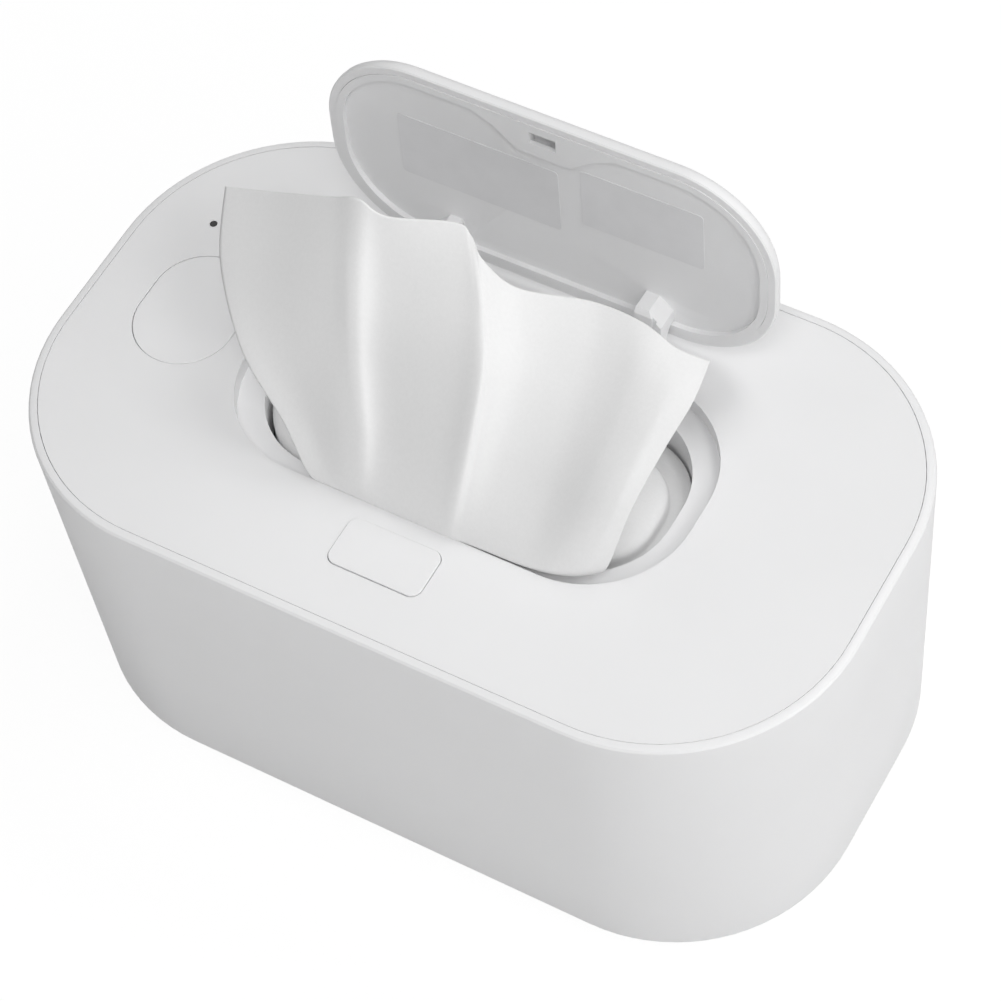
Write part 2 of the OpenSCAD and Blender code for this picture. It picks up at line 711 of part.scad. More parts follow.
module lid_slab(inset, drop0, drop1) {
  translate([0, lid_y, 0])
    slab(lid_l - 2 * inset, lid_d - 2 * inset, lid_r - inset, top_z - drop1, top_z - drop0);
}

// The arm on the right, with a groove along its lower face
module hinge_arm() {
  low_z = top_z - arm_drop;
  difference() {
    along_x(arm_x, arm_x + arm_w) {
      polygon([[arm_root, top_z - liner_floor + touch], [arm_root, low_z + 1],
        [arm_root + 1, low_z], [hinge_y - 3.2, low_z - 0.2],
        [hinge_y - 0.9, hinge_z - barrel_dia / 2 + 0.2], [hinge_y, hinge_z],
        [hinge_y - barrel_dia / 2 + 0.2, hinge_z - 1.1], [arm_root + 8.6, low_z + 2.6],
        [arm_root + 6.8, top_z - liner_floor - 1.6], [arm_root + 6.4, top_z - liner_floor + touch]]);
      translate([hinge_y, hinge_z]) circle(d = barrel_dia);
    }
    translate([arm_x + arm_w, arm_root, low_z - over]) linear_extrude(arm_drop + over)
      polygon([[-arm_cut, 0], [-arm_cut, -over], [over, -over], [over, arm_cut], [0, arm_cut]]);
    groove_x = arm_x + arm_w - 2 * groove_w - 0.2;
    block(groove_x, groove_x + groove_w, arm_root - over, arm_root + 7, low_z - over, low_z + groove_deep);
  }
}

module lid_liner() {
  tab_z = top_z - liner_floor - border_h;
  lid_front = lid_y - lid_d / 2;
  coil_seat = barrel_dia - 0.6;
  color("white") opened() difference() {
    union() {
      lid_slab(liner_in, liner_roof, liner_floor);
      difference() {
        lid_slab(liner_in, liner_floor - touch, liner_floor + border_h);
        lid_slab(liner_in + border_w, liner_floor - over, liner_floor + border_h + over);
      }
      intersection() {
        lid_slab(liner_in, liner_floor - touch, liner_floor + border_h);
        translate([0, lid_front, tab_z - over]) linear_extrude(3 * over + border_h)
          polygon([for (s = [-1, 1]) each [for (k = [0:3])
            let (p = tab[s < 0 ? k : 3 - k]) [s * p[0], p[1]]]]);
      }
      for (s = [0, 1]) mirror([s, 0, 0]) hinge_arm();
    }
    block(-hook_w / 2 - 0.6, hook_w / 2 + 0.6, hook_y - button_travel - 0.3, hook_y + 1.6,
      tab_z - over, top_z);
    block(-hook_w / 2 - 0.9, hook_w / 2 + 0.9, hook_y - button_travel - 0.8, hook_y + 3.4,
      tab_z + 1, top_z);
    translate([0, 0, hinge_z]) along_x(-arm_x - 20, arm_x + 20)
      translate([hinge_y, 0]) circle(d = hinge_pin + 2 * fit);
    for (s = [-1, 1]) {
      seat_x = s > 0 ? arm_x - over : -arm_x - spring_seat;
      translate([0, 0, hinge_z]) along_x(seat_x, seat_x + over + spring_seat)
        translate([hinge_y, 0]) {
          circle(d = coil_seat);
          rotate(lid_open - 180) translate([0, -0.45]) square([barrel_dia, 0.9]);
        }
    }
  }
}

module lid_label(edges) {
  color("lightgray") opened()
    translate([(edges[0] + edges[1]) / 2, lid_y + (edges[2] + edges[3]) / 2, top_z - liner_floor - label_t])
      linear_extrude(label_t) rounded(edges[1] - edges[0], edges[3] - edges[2], 1);
}
module lid_label_left() { lid_label(label_left); }
module lid_label_right() { lid_label(label_right); }

/* Hinge */

spring_seat = 0.9;                                // depth of the spring's seat in an arm
lid_wire = 0.6;

module hinge_pins() {
  length = spring_room + slot_side + arm_w + slot_side + 2 * ear_t;
  color("silver") for (s = [-1, 1]) {
    x0 = arm_x - slot_side - spring_room - ear_t;
    translate([s > 0 ? x0 : -x0 - length, hinge_y, hinge_z]) rotate([0, 90, 0])
      cylinder(h = length, d = hinge_pin);
  }
}

// Torsion spring on the pin: a long leg under the cover, a short one in the arm's side
module lid_springs() {
  r = hinge_pin / 2 + 0.25 + lid_wire / 2;
  x0 = arm_x - slot_side - spring_room + 0.8;
  x1 = arm_x + spring_seat / 2;
  turns = 7;
  coils = [for (k = [0:8 * turns + 4])
    let (a = 90 - 45 * k, t = min(1, k / (8 * turns)))
      [x0 + (x1 - x0) * t, hinge_y + r * cos(a), hinge_z + r * sin(a)]];
  leg = [[x0, hinge_y + 9, hinge_z + r], [x0, hinge_y + 4, hinge_z + r]];
  foot_end = [[x1, hinge_y + (r + 0.45) * cos(-90), hinge_z - r - 0.45]];
  color("silver") for (s = [0, 1]) mirror([s, 0, 0])
    wire(concat(leg, coils), lid_wire, [-1, 0, 0]);
}

/* Release button and latch */

slider_z = deck_z + 1.5;                          // underside of the latch slider
slider_t = 1.6;
drive_z = top_z - 7.4;                            // height of the pins that drive the slider
drive_pin = 2;
fork_x = 7.4;                                     // inner face of the slider's forks
fork_t = 1.6;

module release_button() {
  lip_z = under_z - touch;
  color("white") {
    translate([0, button_y, 0]) {
      slab(button_l, button_d, button_r, lip_z - touch, top_z + button_proud);
      slab(button_l + 3, button_d + 2.6, button_r, lip_z - 1.3, lip_z);
      for (s = [-1, 1]) {
        block(s * 6.15 - 0.75, s * 6.15 + 0.75, -2.2, 2.2, drive_z - 1.6, lip_z - 1.2);
        translate([s > 0 ? 5.4 : -fork_x - fork_t - 0.2, 0, drive_z]) rotate([0, 90, 0])
          cylinder(h = fork_x + fork_t + 0.2 - 5.4, d = drive_pin);
      }
    }
  }
}

module button_spring() {
  color("silver") translate([0, button_y, 0])
    coil(3.4, 0.6, deck_z + touch, under_z - touch - 1.3 - touch, 4);
}

module latch_slider() {
  reach = button_travel;
  slot = drive_pin + 2 * 0.15;
  color("gainsboro") difference() {
    union() {
      block(-fork_x - fork_t, fork_x + fork_t, button_y + 7.2, button_y + 12.8,
        slider_z, slider_z + slider_t);
      block(-hook_w / 2, hook_w / 2, button_y + 12, hook_y + 1.2, slider_z, slider_z + slider_t);
      for (s = [-1, 1])
        block(s * (fork_x + fork_t / 2) - fork_t / 2, s * (fork_x + fork_t / 2) + fork_t / 2,
          button_y - 5, button_y + 8, slider_z, drive_z + 1.9);
      along_x(-hook_w / 2, hook_w / 2)
        polygon([[hook_y, slider_z], [hook_y + 1.2, slider_z], [hook_y + 1.2, top_z - 2.8],
          [hook_y + 2.3, top_z - 2.8], [hook_y + 2.3, top_z - 2.5], [hook_y + 1.2, top_z - 1.8],
          [hook_y, top_z - 1.8]]);
    }
    along_x(-fork_x - fork_t - over, fork_x + fork_t + over) {
      translate([button_y, drive_z]) circle(d = slot);
      translate([button_y + reach, drive_z - reach]) circle(d = slot);
      translate([button_y, drive_z]) rotate(-45) translate([0, -slot / 2])
        square([reach * sqrt(2), slot]);
    }
  }
}

/* Power key */

module power_key() {
  lip_z = under_z - touch;
  stem_low = board_top + switch_h + 0.5 + key_travel + 0.02;
  color("white") {
    oval(key_w, key_l, lip_z - touch, top_z);
    oval(key_w + 3, key_l + 3, lip_z - 1.2, lip_z);
    post(key_x, key_y, 5, stem_low, lip_z - 1.1);
  }
}

module key_spring() {
  color("silver") translate([key_x, key_y, 0])
    coil(5.6, 0.6, board_top + touch, under_z - touch - 1.2 - touch, 3);
}

/* Pulled wipe */

// Each column runs from the recess's front edge to the wipe's free top. Its points are X, Y
// and height over the cover's top. Below them the wipe goes down through the mouth.
wipe_columns = [
  [[-23.5, -27, 0.2], [-33.1, -23, 10.8], [-45.6, -16.8, 21.8], [-55.7, -5.7, 34.1], [-59.6, 5.8, 44.7]],
  [[-18.5, -27, 0.2], [-26.4, -21.9, 11.4], [-36.2, -14.5, 24.3], [-41.4, -4.9, 38.1], [-46.5, 6.3, 49.2]],
  [[-14.7, -27, 0.2], [-18.7, -21.8, 15], [-24.2, -12.9, 29.6], [-27.3, -4.2, 44], [-32, 6.2, 55.4]],
  [[-11.5, -27, 0.2], [-13, -21.5, 16.1], [-18, -12.5, 31], [-20.9, -4.2, 45.2], [-24.4, 6, 59.1]],
  [[-6.1, -27, 0.2], [-8.5, -19.5, 16.2], [-12.7, -10.1, 31], [-15.6, -1.8, 43.2], [-17.8, 6.2, 56.4]],
  [[6, -27, 0.2], [5.9, -18.9, 19.7], [4, -7.9, 35.3], [0.2, 2.5, 46.3], [-5.1, 11, 55.7]],
  [[10, -27, 0.2], [11.4, -18.1, 22.6], [10.3, -8.1, 36.2], [6.2, 1.2, 44.7], [-0.6, 11, 53.8]],
  [[12.8, -26.7, 0.2], [13.2, -16.8, 20.4], [12, -7, 34.6], [8.3, 1, 42.5], [2.2, 8.2, 50.3]],
  [[18.6, -26.5, 0.2], [18.2, -15.3, 17.7], [17.3, -4.5, 30.3], [14.8, 3.8, 37.5], [10, 10.1, 43.1]],
  [[27.2, -26.3, 0.2], [29.1, -15.2, 15.9], [29.6, -3.9, 27.7], [28.7, 6.2, 35.5], [24.5, 15.3, 40.5]],
  [[34.2, -25.4, 0.2], [39, -16.7, 18.5], [40.2, -5.4, 29.4], [40.2, 5.3, 36.9], [36.5, 15, 40.6]],
  [[39.8, -23.3, 0.2], [45.1, -15.8, 19.2], [47.1, -5.3, 30.1], [47.8, 4.7, 36.5], [45.2, 13.5, 38.6]],
  [[44.1, -20, 0.2], [48, -13.8, 17.4], [51, -3.7, 28.1], [53.1, 5.4, 34.5], [52.1, 15, 36.2]]];
function below(x) = [[0.75 * x, -4, -6.2], [0.8 * x, -10, -4.4], [0.88 * x, -17.8, -0.4]];
wipe_rows = 14;
wipe_across = 36;

// Smooth curve through a list of points, at t from 0 to 1
function eased(p, t) =
  let (n = len(p) - 1, s = min(t * n, n - 0.0001), i = floor(s), u = s - i,
       a = p[max(i - 1, 0)], b = p[i], c = p[i + 1], d = p[min(i + 2, n)])
    0.5 * (2 * b + (c - a) * u + (2 * a - 5 * b + 4 * c - d) * u * u
      + (3 * b - a - 3 * c + d) * u * u * u);
function wipe_point(i, j) =
  let (row = [for (c = wipe_columns) eased(concat(below(c[0][0]), c), j / wipe_rows)])
    eased(row, i / wipe_across) + [0, rec_front + 27.5, top_z];
function wipe_side(i, j) =
  let (a = wipe_point(max(i - 1, 0), j), b = wipe_point(min(i + 1, wipe_across), j),
       c = wipe_point(i, max(j - 1, 0)), d = wipe_point(i, min(j + 1, wipe_rows)))
    wipe_t * unit(cross(d - c, b - a));
// Each row of the sheet is a closed ring: along its face, and back along its other side
function wipe_row(j) = concat(
  [for (i = [0:wipe_across]) wipe_point(i, j)],
  [for (i = [wipe_across:-1:0]) wipe_point(i, j) + wipe_side(i, j)]);

module pulled_wipe() {
  n = 2 * (wipe_across + 1);
  rings = [for (j = [0:wipe_rows]) wipe_row(j)];
  points = [for (r = rings) each r];
  sides = [for (k = [0:wipe_rows - 1]) for (i = [0:n - 1])
    let (j = (i + 1) % n, a = k * n + i, b = k * n + j)
      each [[a, a + n, b + n], [a, b + n, b]]];
  ends = [for (i = [0:wipe_across - 1])
    let (a = i, b = i + 1, c = n - 2 - i, d = n - 1 - i, top = wipe_rows * n)
      each [[a, b, c], [a, c, d], [top + a, top + c, top + b], [top + a, top + d, top + c]]];
  color("white") polyhedron(points = points, faces = concat(sides, ends), convexity = 8);
}

outer_shell();
inner_bin();
bin_screws();
foot(feet[0]);  // foot_front_left
foot(feet[2]);  // foot_front_right
foot(feet[1]);  // foot_rear_left
foot(feet[3]);  // foot_rear_right
lift_springs();
lift_plate();
wipe_stack();
cover_plate();
cover_base();
cover_screws();
cover_gasket();
insulation_pad();
heater_film();
heat_plate();
heat_plate_screws();
control_board();
board_screws();
board_parts();
usb_socket();
tact_switch();
indicator_led();
light_pipe();
thermistor();
thermal_fuse();
heater_leads();
hinge_pins();
lid_springs();
button_spring();
key_spring();
pulled_wipe();
lid_shell();
lid_liner();
lid_label_left();
lid_label_right();
release_button();
latch_slider();
power_key();
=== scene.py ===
import bpy
import bmesh
import json
import math
from mathutils import Matrix, Vector, noise


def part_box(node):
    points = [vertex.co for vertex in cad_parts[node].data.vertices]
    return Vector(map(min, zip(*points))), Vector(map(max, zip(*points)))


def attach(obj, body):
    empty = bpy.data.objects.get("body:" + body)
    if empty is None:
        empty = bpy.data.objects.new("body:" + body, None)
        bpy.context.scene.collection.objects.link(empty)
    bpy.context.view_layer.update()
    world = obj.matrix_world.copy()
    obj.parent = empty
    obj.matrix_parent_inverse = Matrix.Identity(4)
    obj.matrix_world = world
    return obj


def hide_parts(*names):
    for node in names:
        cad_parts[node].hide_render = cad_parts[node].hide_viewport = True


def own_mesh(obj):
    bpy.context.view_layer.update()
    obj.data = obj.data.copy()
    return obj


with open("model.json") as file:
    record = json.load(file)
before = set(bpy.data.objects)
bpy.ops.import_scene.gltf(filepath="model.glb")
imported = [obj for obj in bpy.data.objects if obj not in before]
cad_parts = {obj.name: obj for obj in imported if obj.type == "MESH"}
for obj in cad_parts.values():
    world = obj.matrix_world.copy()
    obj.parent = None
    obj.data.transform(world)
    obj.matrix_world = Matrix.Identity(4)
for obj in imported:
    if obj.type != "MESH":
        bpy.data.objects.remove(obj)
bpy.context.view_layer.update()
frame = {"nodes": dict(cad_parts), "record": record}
nodes = frame["nodes"]
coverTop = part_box("cover_plate")[1][2]        # height of the cover's flat top
print("frame loaded, cover top at", round(coverTop, 4))

cameraSet = {
    "azimuth": 36.937,
    "elevation": 55.771,
    "roll": -9.131,
    "lens": 118.94,
    "sensor": 36,
    "place": (0.2554, -0.3340, 0.6793),
    "near": 0.02,
    "far": 20,
}


def makeCamera(s):
    a, e, r = (math.radians(s[k]) for k in ("azimuth", "elevation", "roll"))
    back = Vector((math.sin(a) * math.cos(e), -math.cos(a) * math.cos(e), math.sin(e)))
    right = Vector((0, 0, 1)).cross(back).normalized()
    up = back.cross(right)
    x = right * math.cos(r) + up * math.sin(r)
    y = up * math.cos(r) - right * math.sin(r)
    data = bpy.data.cameras.new("viewCamera")
    data.lens = s["lens"]
    data.sensor_width = s["sensor"]
    data.clip_start = s["near"]
    data.clip_end = s["far"]
    cam = bpy.data.objects.new("viewCamera", data)
    bpy.context.scene.collection.objects.link(cam)
    turn = Matrix((x, y, back)).transposed().to_4x4()
    cam.matrix_world = Matrix.Translation(s["place"]) @ turn
    bpy.context.scene.camera = cam


makeCamera(cameraSet)
print("camera set")


def addObject(name, mesh):
    ob = bpy.data.objects.new(name, mesh)
    bpy.context.scene.collection.objects.link(ob)
    return ob


def give(ob, mat):
    ob.data.materials.clear()
    ob.data.materials.append(mat)


def smoothFaces(mesh):
    for f in mesh.polygons:
        f.use_smooth = True


def newMaterial(name):
    mat = bpy.data.materials.new(name)
    mat.use_nodes = True
    tree = mat.node_tree
    return mat, tree, tree.nodes["Principled BSDF"]


def link(tree, a, b):
    tree.links.new(a, b)


def objectPoint(tree, scale=(1, 1, 1)):
    coords = tree.nodes.new("ShaderNodeTexCoord")
    mapping = tree.nodes.new("ShaderNodeMapping")
    mapping.inputs["Scale"].default_value = scale
    link(tree, coords.outputs["Object"], mapping.inputs["Vector"])
    return mapping.outputs["Vector"]


def noiseField(tree, place, scale, detail, rough=0.5):
    n = tree.nodes.new("ShaderNodeTexNoise")
    n.inputs["Scale"].default_value = scale
    n.inputs["Detail"].default_value = detail
    n.inputs["Roughness"].default_value = rough
    link(tree, place, n.inputs["Vector"])
    return n.outputs["Fac"]


def ramp(tree, fac, stops):
    r = tree.nodes.new("ShaderNodeValToRGB")
    band = r.color_ramp
    while len(band.elements) < len(stops):
        band.elements.new(0.5)
    for e, (at, col) in zip(band.elements, stops):
        e.position = at
        e.color = (*col, 1)
    link(tree, fac, r.inputs["Fac"])
    return r.outputs["Color"]


def valueRange(tree, fac, low, high):
    m = tree.nodes.new("ShaderNodeMapRange")
    m.inputs["To Min"].default_value = low
    m.inputs["To Max"].default_value = high
    link(tree, fac, m.inputs["Value"])
    return m.outputs["Result"]


def bumpFrom(tree, height, strength, distance, under=None):
    b = tree.nodes.new("ShaderNodeBump")
    b.inputs["Strength"].default_value = strength
    b.inputs["Distance"].default_value = distance
    link(tree, height, b.inputs["Height"])
    if under is not None:
        link(tree, under, b.inputs["Normal"])
    return b.outputs["Normal"]


def toned(colour, share):
    return tuple(min(1, c * share) for c in colour)


plasticSet = {
    "body": (0.885, 0.885, 0.89),
    "lid": (0.89, 0.89, 0.895),
    "key": (0.895, 0.895, 0.90),
    "bin": (0.82, 0.82, 0.825),
    "inner": (0.76, 0.76, 0.765),
    "glow": 0.12,                 # share of the light that wanders inside the plastic
    "reach": 0.0016,              # how far it wanders, in metres
    "cloud": 22,                  # scales of the colour's cloudiness, the gloss and the grain
    "gloss": 60,
    "spark": 2600,
    "depth": 0.00006,             # depth of the grain, in metres
}


# Injection-moulded plastic: faint cloudiness in the colour, and a very fine spark texture
def mouldedPlastic(name, colour, gloss, grain, s=plasticSet):
    mat, tree, shader = newMaterial(name)
    place = objectPoint(tree)
    cloud = noiseField(tree, place, s["cloud"], 3)
    link(tree, ramp(tree, cloud, [(0.3, toned(colour, 0.988)), (0.7, toned(colour, 1.01))]),
         shader.inputs["Base Color"])
    worn = noiseField(tree, place, s["gloss"], 4)
    link(tree, valueRange(tree, worn, gloss - 0.03, gloss + 0.05), shader.inputs["Roughness"])
    spark = noiseField(tree, place, s["spark"], 2, 0.6)
    link(tree, bumpFrom(tree, spark, grain, s["depth"]), shader.inputs["Normal"])
    shader.inputs["IOR"].default_value = 1.5
    shader.inputs["Subsurface Weight"].default_value = s["glow"]
    shader.inputs["Subsurface Radius"].default_value = (1, 0.96, 0.92)
    shader.inputs["Subsurface Scale"].default_value = s["reach"]
    return mat


def siliconeSkin(name, colour):
    mat, tree, shader = newMaterial(name)
    place = objectPoint(tree)
    dust = noiseField(tree, place, 420, 5, 0.65)
    link(tree, ramp(tree, dust, [(0.35, toned(colour, 0.92)), (0.65, colour)]),
         shader.inputs["Base Color"])
    shader.inputs["Roughness"].default_value = 0.72
    link(tree, bumpFrom(tree, noiseField(tree, place, 1800, 3), 0.25, 0.0001),
         shader.inputs["Normal"])
    return mat


# Drawn wire and plated screws: fine streaks along the work
def platedSteel(name, colour, rough):
    mat, tree, shader = newMaterial(name)
    streak = noiseField(tree, objectPoint(tree, (300, 300, 4000)), 1, 4, 0.6)
    link(tree, ramp(tree, streak, [(0.3, toned(colour, 0.82)), (0.7, colour)]),
         shader.inputs["Base Color"])
    shader.inputs["Metallic"].default_value = 1
    link(tree, valueRange(tree, streak, rough - 0.06, rough + 0.1), shader.inputs["Roughness"])
    return mat


def brushedAluminium(name, low, high):
    mat, tree, shader = newMaterial(name)
    brush = noiseField(tree, objectPoint(tree, (30, 2600, 30)), 1, 5, 0.7)
    link(tree, ramp(tree, brush, [(0.25, low), (0.75, high)]), shader.inputs["Base Color"])
    shader.inputs["Metallic"].default_value = 1
    link(tree, valueRange(tree, brush, 0.28, 0.46), shader.inputs["Roughness"])
    link(tree, bumpFrom(tree, brush, 0.2, 0.00005), shader.inputs["Normal"])
    return mat


def feltPad(name, low, high):
    mat, tree, shader = newMaterial(name)
    fibre = noiseField(tree, objectPoint(tree), 900, 8, 0.75)
    link(tree, ramp(tree, fibre, [(0.3, low), (0.7, high)]), shader.inputs["Base Color"])
    shader.inputs["Roughness"].default_value = 0.95
    link(tree, bumpFrom(tree, fibre, 0.6, 0.0004), shader.inputs["Normal"])
    return mat


# Heater film: a dark etched track winding under an amber film
def amberFilm(name, film, track):
    mat, tree, shader = newMaterial(name)
    wave = tree.nodes.new("ShaderNodeTexWave")
    wave.inputs["Scale"].default_value = 70
    link(tree, objectPoint(tree), wave.inputs["Vector"])
    link(tree, ramp(tree, wave.outputs["Fac"], [(0.45, film), (0.55, track)]),
         shader.inputs["Base Color"])
    shader.inputs["Roughness"].default_value = 0.3
    return mat


def solderMask(name, pad, mask):
    mat, tree, shader = newMaterial(name)
    cells = tree.nodes.new("ShaderNodeTexVoronoi")
    cells.distance = "CHEBYCHEV"
    cells.inputs["Scale"].default_value = 260
    link(tree, objectPoint(tree), cells.inputs["Vector"])
    link(tree, ramp(tree, cells.outputs["Distance"], [(0.15, pad), (0.2, mask)]),
         shader.inputs["Base Color"])
    shader.inputs["Roughness"].default_value = 0.35
    return mat


def darkMoulding(name, colour, rough):
    mat, tree, shader = newMaterial(name)
    speck = noiseField(tree, objectPoint(tree), 1500, 4)
    light = tuple(c * 1.5 + 0.004 for c in colour)
    link(tree, ramp(tree, speck, [(0.4, colour), (0.75, light)]), shader.inputs["Base Color"])
    shader.inputs["Roughness"].default_value = rough
    link(tree, bumpFrom(tree, speck, 0.15, 0.00005), shader.inputs["Normal"])
    return mat


clothSet = {
    "fibres": 1500,               # scales of the fibres and of the embossed dots
    "lean": (1, 1, 0.45),         # fibres run longer upwards
    "dots": 620,
    "depth": 0.0001,              # depth of both, in metres
}


# Spunlace cloth: a soft mat of short fibres with a faint embossed grid
def spunlaceCloth(name, colour, s=clothSet):
    mat, tree, shader = newMaterial(name)
    fibres = noiseField(tree, objectPoint(tree, s["lean"]), s["fibres"], 6, 0.7)
    link(tree, ramp(tree, fibres, [(0.3, toned(colour, 0.965)), (0.7, colour)]),
         shader.inputs["Base Color"])
    dots = tree.nodes.new("ShaderNodeTexVoronoi")
    dots.inputs["Scale"].default_value = s["dots"]
    dots.inputs["Randomness"].default_value = 0.25
    link(tree, objectPoint(tree), dots.inputs["Vector"])
    emboss = bumpFrom(tree, dots.outputs["Distance"], 0.10, s["depth"])
    link(tree, bumpFrom(tree, fibres, 0.18, s["depth"], emboss), shader.inputs["Normal"])
    shader.inputs["Roughness"].default_value = 0.86
    shader.inputs["Sheen Weight"].default_value = 0.08
    shader.inputs["Sheen Roughness"].default_value = 0.4
    return mat


# Bare label: a thin matt film, faintly mottled by the glue under it
def bareFilm(name, low, high):
    mat, tree, shader = newMaterial(name)
    glue = noiseField(tree, objectPoint(tree), 160, 4)
    link(tree, ramp(tree, glue, [(0.3, low), (0.7, high)]), shader.inputs["Base Color"])
    shader.inputs["Roughness"].default_value = 0.42
    link(tree, bumpFrom(tree, glue, 0.1, 0.0001), shader.inputs["Normal"])
    return mat


bodyPlastic = mouldedPlastic("bodyPlastic", plasticSet["body"], 0.34, 0.06)
lidPlastic = mouldedPlastic("lidPlastic", plasticSet["lid"], 0.32, 0.05)
keyPlastic = mouldedPlastic("keyPlastic", plasticSet["key"], 0.38, 0.08)
binPlastic = mouldedPlastic("binPlastic", plasticSet["bin"], 0.5, 0.12)
innerPlastic = mouldedPlastic("innerPlastic", plasticSet["inner"], 0.5, 0.12)
footRubber = siliconeSkin("footRubber", (0.12, 0.12, 0.12))
sealSilicone = siliconeSkin("sealSilicone", (0.55, 0.55, 0.56))
screwSteel = platedSteel("screwSteel", (0.58, 0.58, 0.60), 0.32)
wireSteel = platedSteel("wireSteel", (0.52, 0.52, 0.54), 0.28)
plateAluminium = brushedAluminium("plateAluminium", (0.60, 0.61, 0.62), (0.80, 0.81, 0.82))
wipeCloth = spunlaceCloth("wipeCloth", (0.90, 0.90, 0.90))
padFelt = feltPad("padFelt", (0.16, 0.16, 0.17), (0.33, 0.33, 0.34))
heaterAmber = amberFilm("heaterAmber", (0.62, 0.33, 0.06), (0.40, 0.20, 0.05))
boardGreen = solderMask("boardGreen", (0.50, 0.40, 0.16), (0.02, 0.17, 0.07))
chipBlack = darkMoulding("chipBlack", (0.03, 0.03, 0.033), 0.5)
lightBlack = darkMoulding("lightBlack", (0.012, 0.012, 0.013), 0.15)
fuseCeramic = darkMoulding("fuseCeramic", (0.42, 0.35, 0.25), 0.7)
leadRed = darkMoulding("leadRed", (0.42, 0.04, 0.03), 0.45)
ledLens = darkMoulding("ledLens", (0.60, 0.57, 0.38), 0.2)
labelFilm = bareFilm("labelFilm", (0.81, 0.81, 0.82), (0.84, 0.84, 0.85))

finishOf = {
    "outer_shell": bodyPlastic, "cover_plate": bodyPlastic,
    "lid_shell": lidPlastic, "lid_liner": lidPlastic,
    "power_key": keyPlastic, "release_button": bodyPlastic,
    "inner_bin": binPlastic, "lift_plate": innerPlastic,
    "cover_base": innerPlastic, "latch_slider": innerPlastic,
    "foot_front_left": footRubber, "foot_front_right": footRubber,
    "foot_rear_left": footRubber, "foot_rear_right": footRubber,
    "cover_gasket": sealSilicone,
    "bin_screws": screwSteel, "cover_screws": screwSteel, "heat_plate_screws": screwSteel,
    "board_screws": screwSteel, "usb_socket": screwSteel, "hinge_pins": screwSteel,
    "lift_springs": wireSteel, "lid_springs": wireSteel, "button_spring": wireSteel,
    "key_spring": wireSteel,
    "heat_plate": plateAluminium, "insulation_pad": padFelt, "heater_film": heaterAmber,
    "control_board": boardGreen, "board_parts": chipBlack, "tact_switch": chipBlack,
    "thermistor": chipBlack, "light_pipe": lightBlack, "indicator_led": ledLens,
    "thermal_fuse": fuseCeramic, "heater_leads": leadRed,
    "lid_label_left": labelFilm, "lid_label_right": labelFilm,
    "wipe_stack": wipeCloth, "pulled_wipe": wipeCloth,
}
for name, mat in finishOf.items():
    give(nodes[name], mat)
print("materials on", len(finishOf), "nodes")

# Edge rounding of each moulded piece, in metres
edgeSet = {
    "cover_plate": 0.00035,
    "lid_liner": 0.0002,
    "power_key": 0.0003,
    "release_button": 0.0003,
    "latch_slider": 0.00015,
    "lift_plate": 0.0004,
    "cover_base": 0.0002,
    "heat_plate": 0.0002,
}

shadeSet = {
    "weld": 0.000004,             # distance under which loose corners are joined, in metres
    "crease": 28,                 # angle over which an edge stays sharp
    "flat": 0.6,                  # angle under which faces are joined into one
    "bevel": 40,                  # angle over which an edge is rounded
    "segments": 3,
}


# Joins the loose faces of a carried-over piece, and shades it smooth up to a limit angle
def smoothGroup(s):
    group = bpy.data.node_groups.new("smoothShade", "GeometryNodeTree")
    group.interface.new_socket("Geometry", in_out="INPUT", socket_type="NodeSocketGeometry")
    group.interface.new_socket("Geometry", in_out="OUTPUT", socket_type="NodeSocketGeometry")
    n = group.nodes
    start, end = n.new("NodeGroupInput"), n.new("NodeGroupOutput")
    bare = n.new("GeometryNodeRemoveAttribute")
    bare.inputs["Name"].default_value = "custom_normal"
    weld = n.new("GeometryNodeMergeByDistance")
    weld.inputs["Distance"].default_value = s["weld"]
    faces = n.new("GeometryNodeSetShadeSmooth")
    faces.domain = "FACE"
    creases = n.new("GeometryNodeSetShadeSmooth")
    creases.domain = "EDGE"
    creases.inputs["Shade Smooth"].default_value = False
    angle = n.new("GeometryNodeInputMeshEdgeAngle")
    over = n.new("FunctionNodeCompare")
    over.data_type = "FLOAT"
    over.operation = "GREATER_THAN"
    over.inputs[1].default_value = math.radians(s["crease"])
    link(group, start.outputs[0], bare.inputs["Geometry"])
    link(group, bare.outputs["Geometry"], weld.inputs["Geometry"])
    link(group, weld.outputs["Geometry"], faces.inputs["Geometry"])
    link(group, faces.outputs["Geometry"], creases.inputs["Geometry"])
    link(group, angle.outputs["Unsigned Angle"], over.inputs[0])
    link(group, over.outputs[0], creases.inputs["Selection"])
    link(group, creases.outputs["Geometry"], end.inputs[0])
    return group


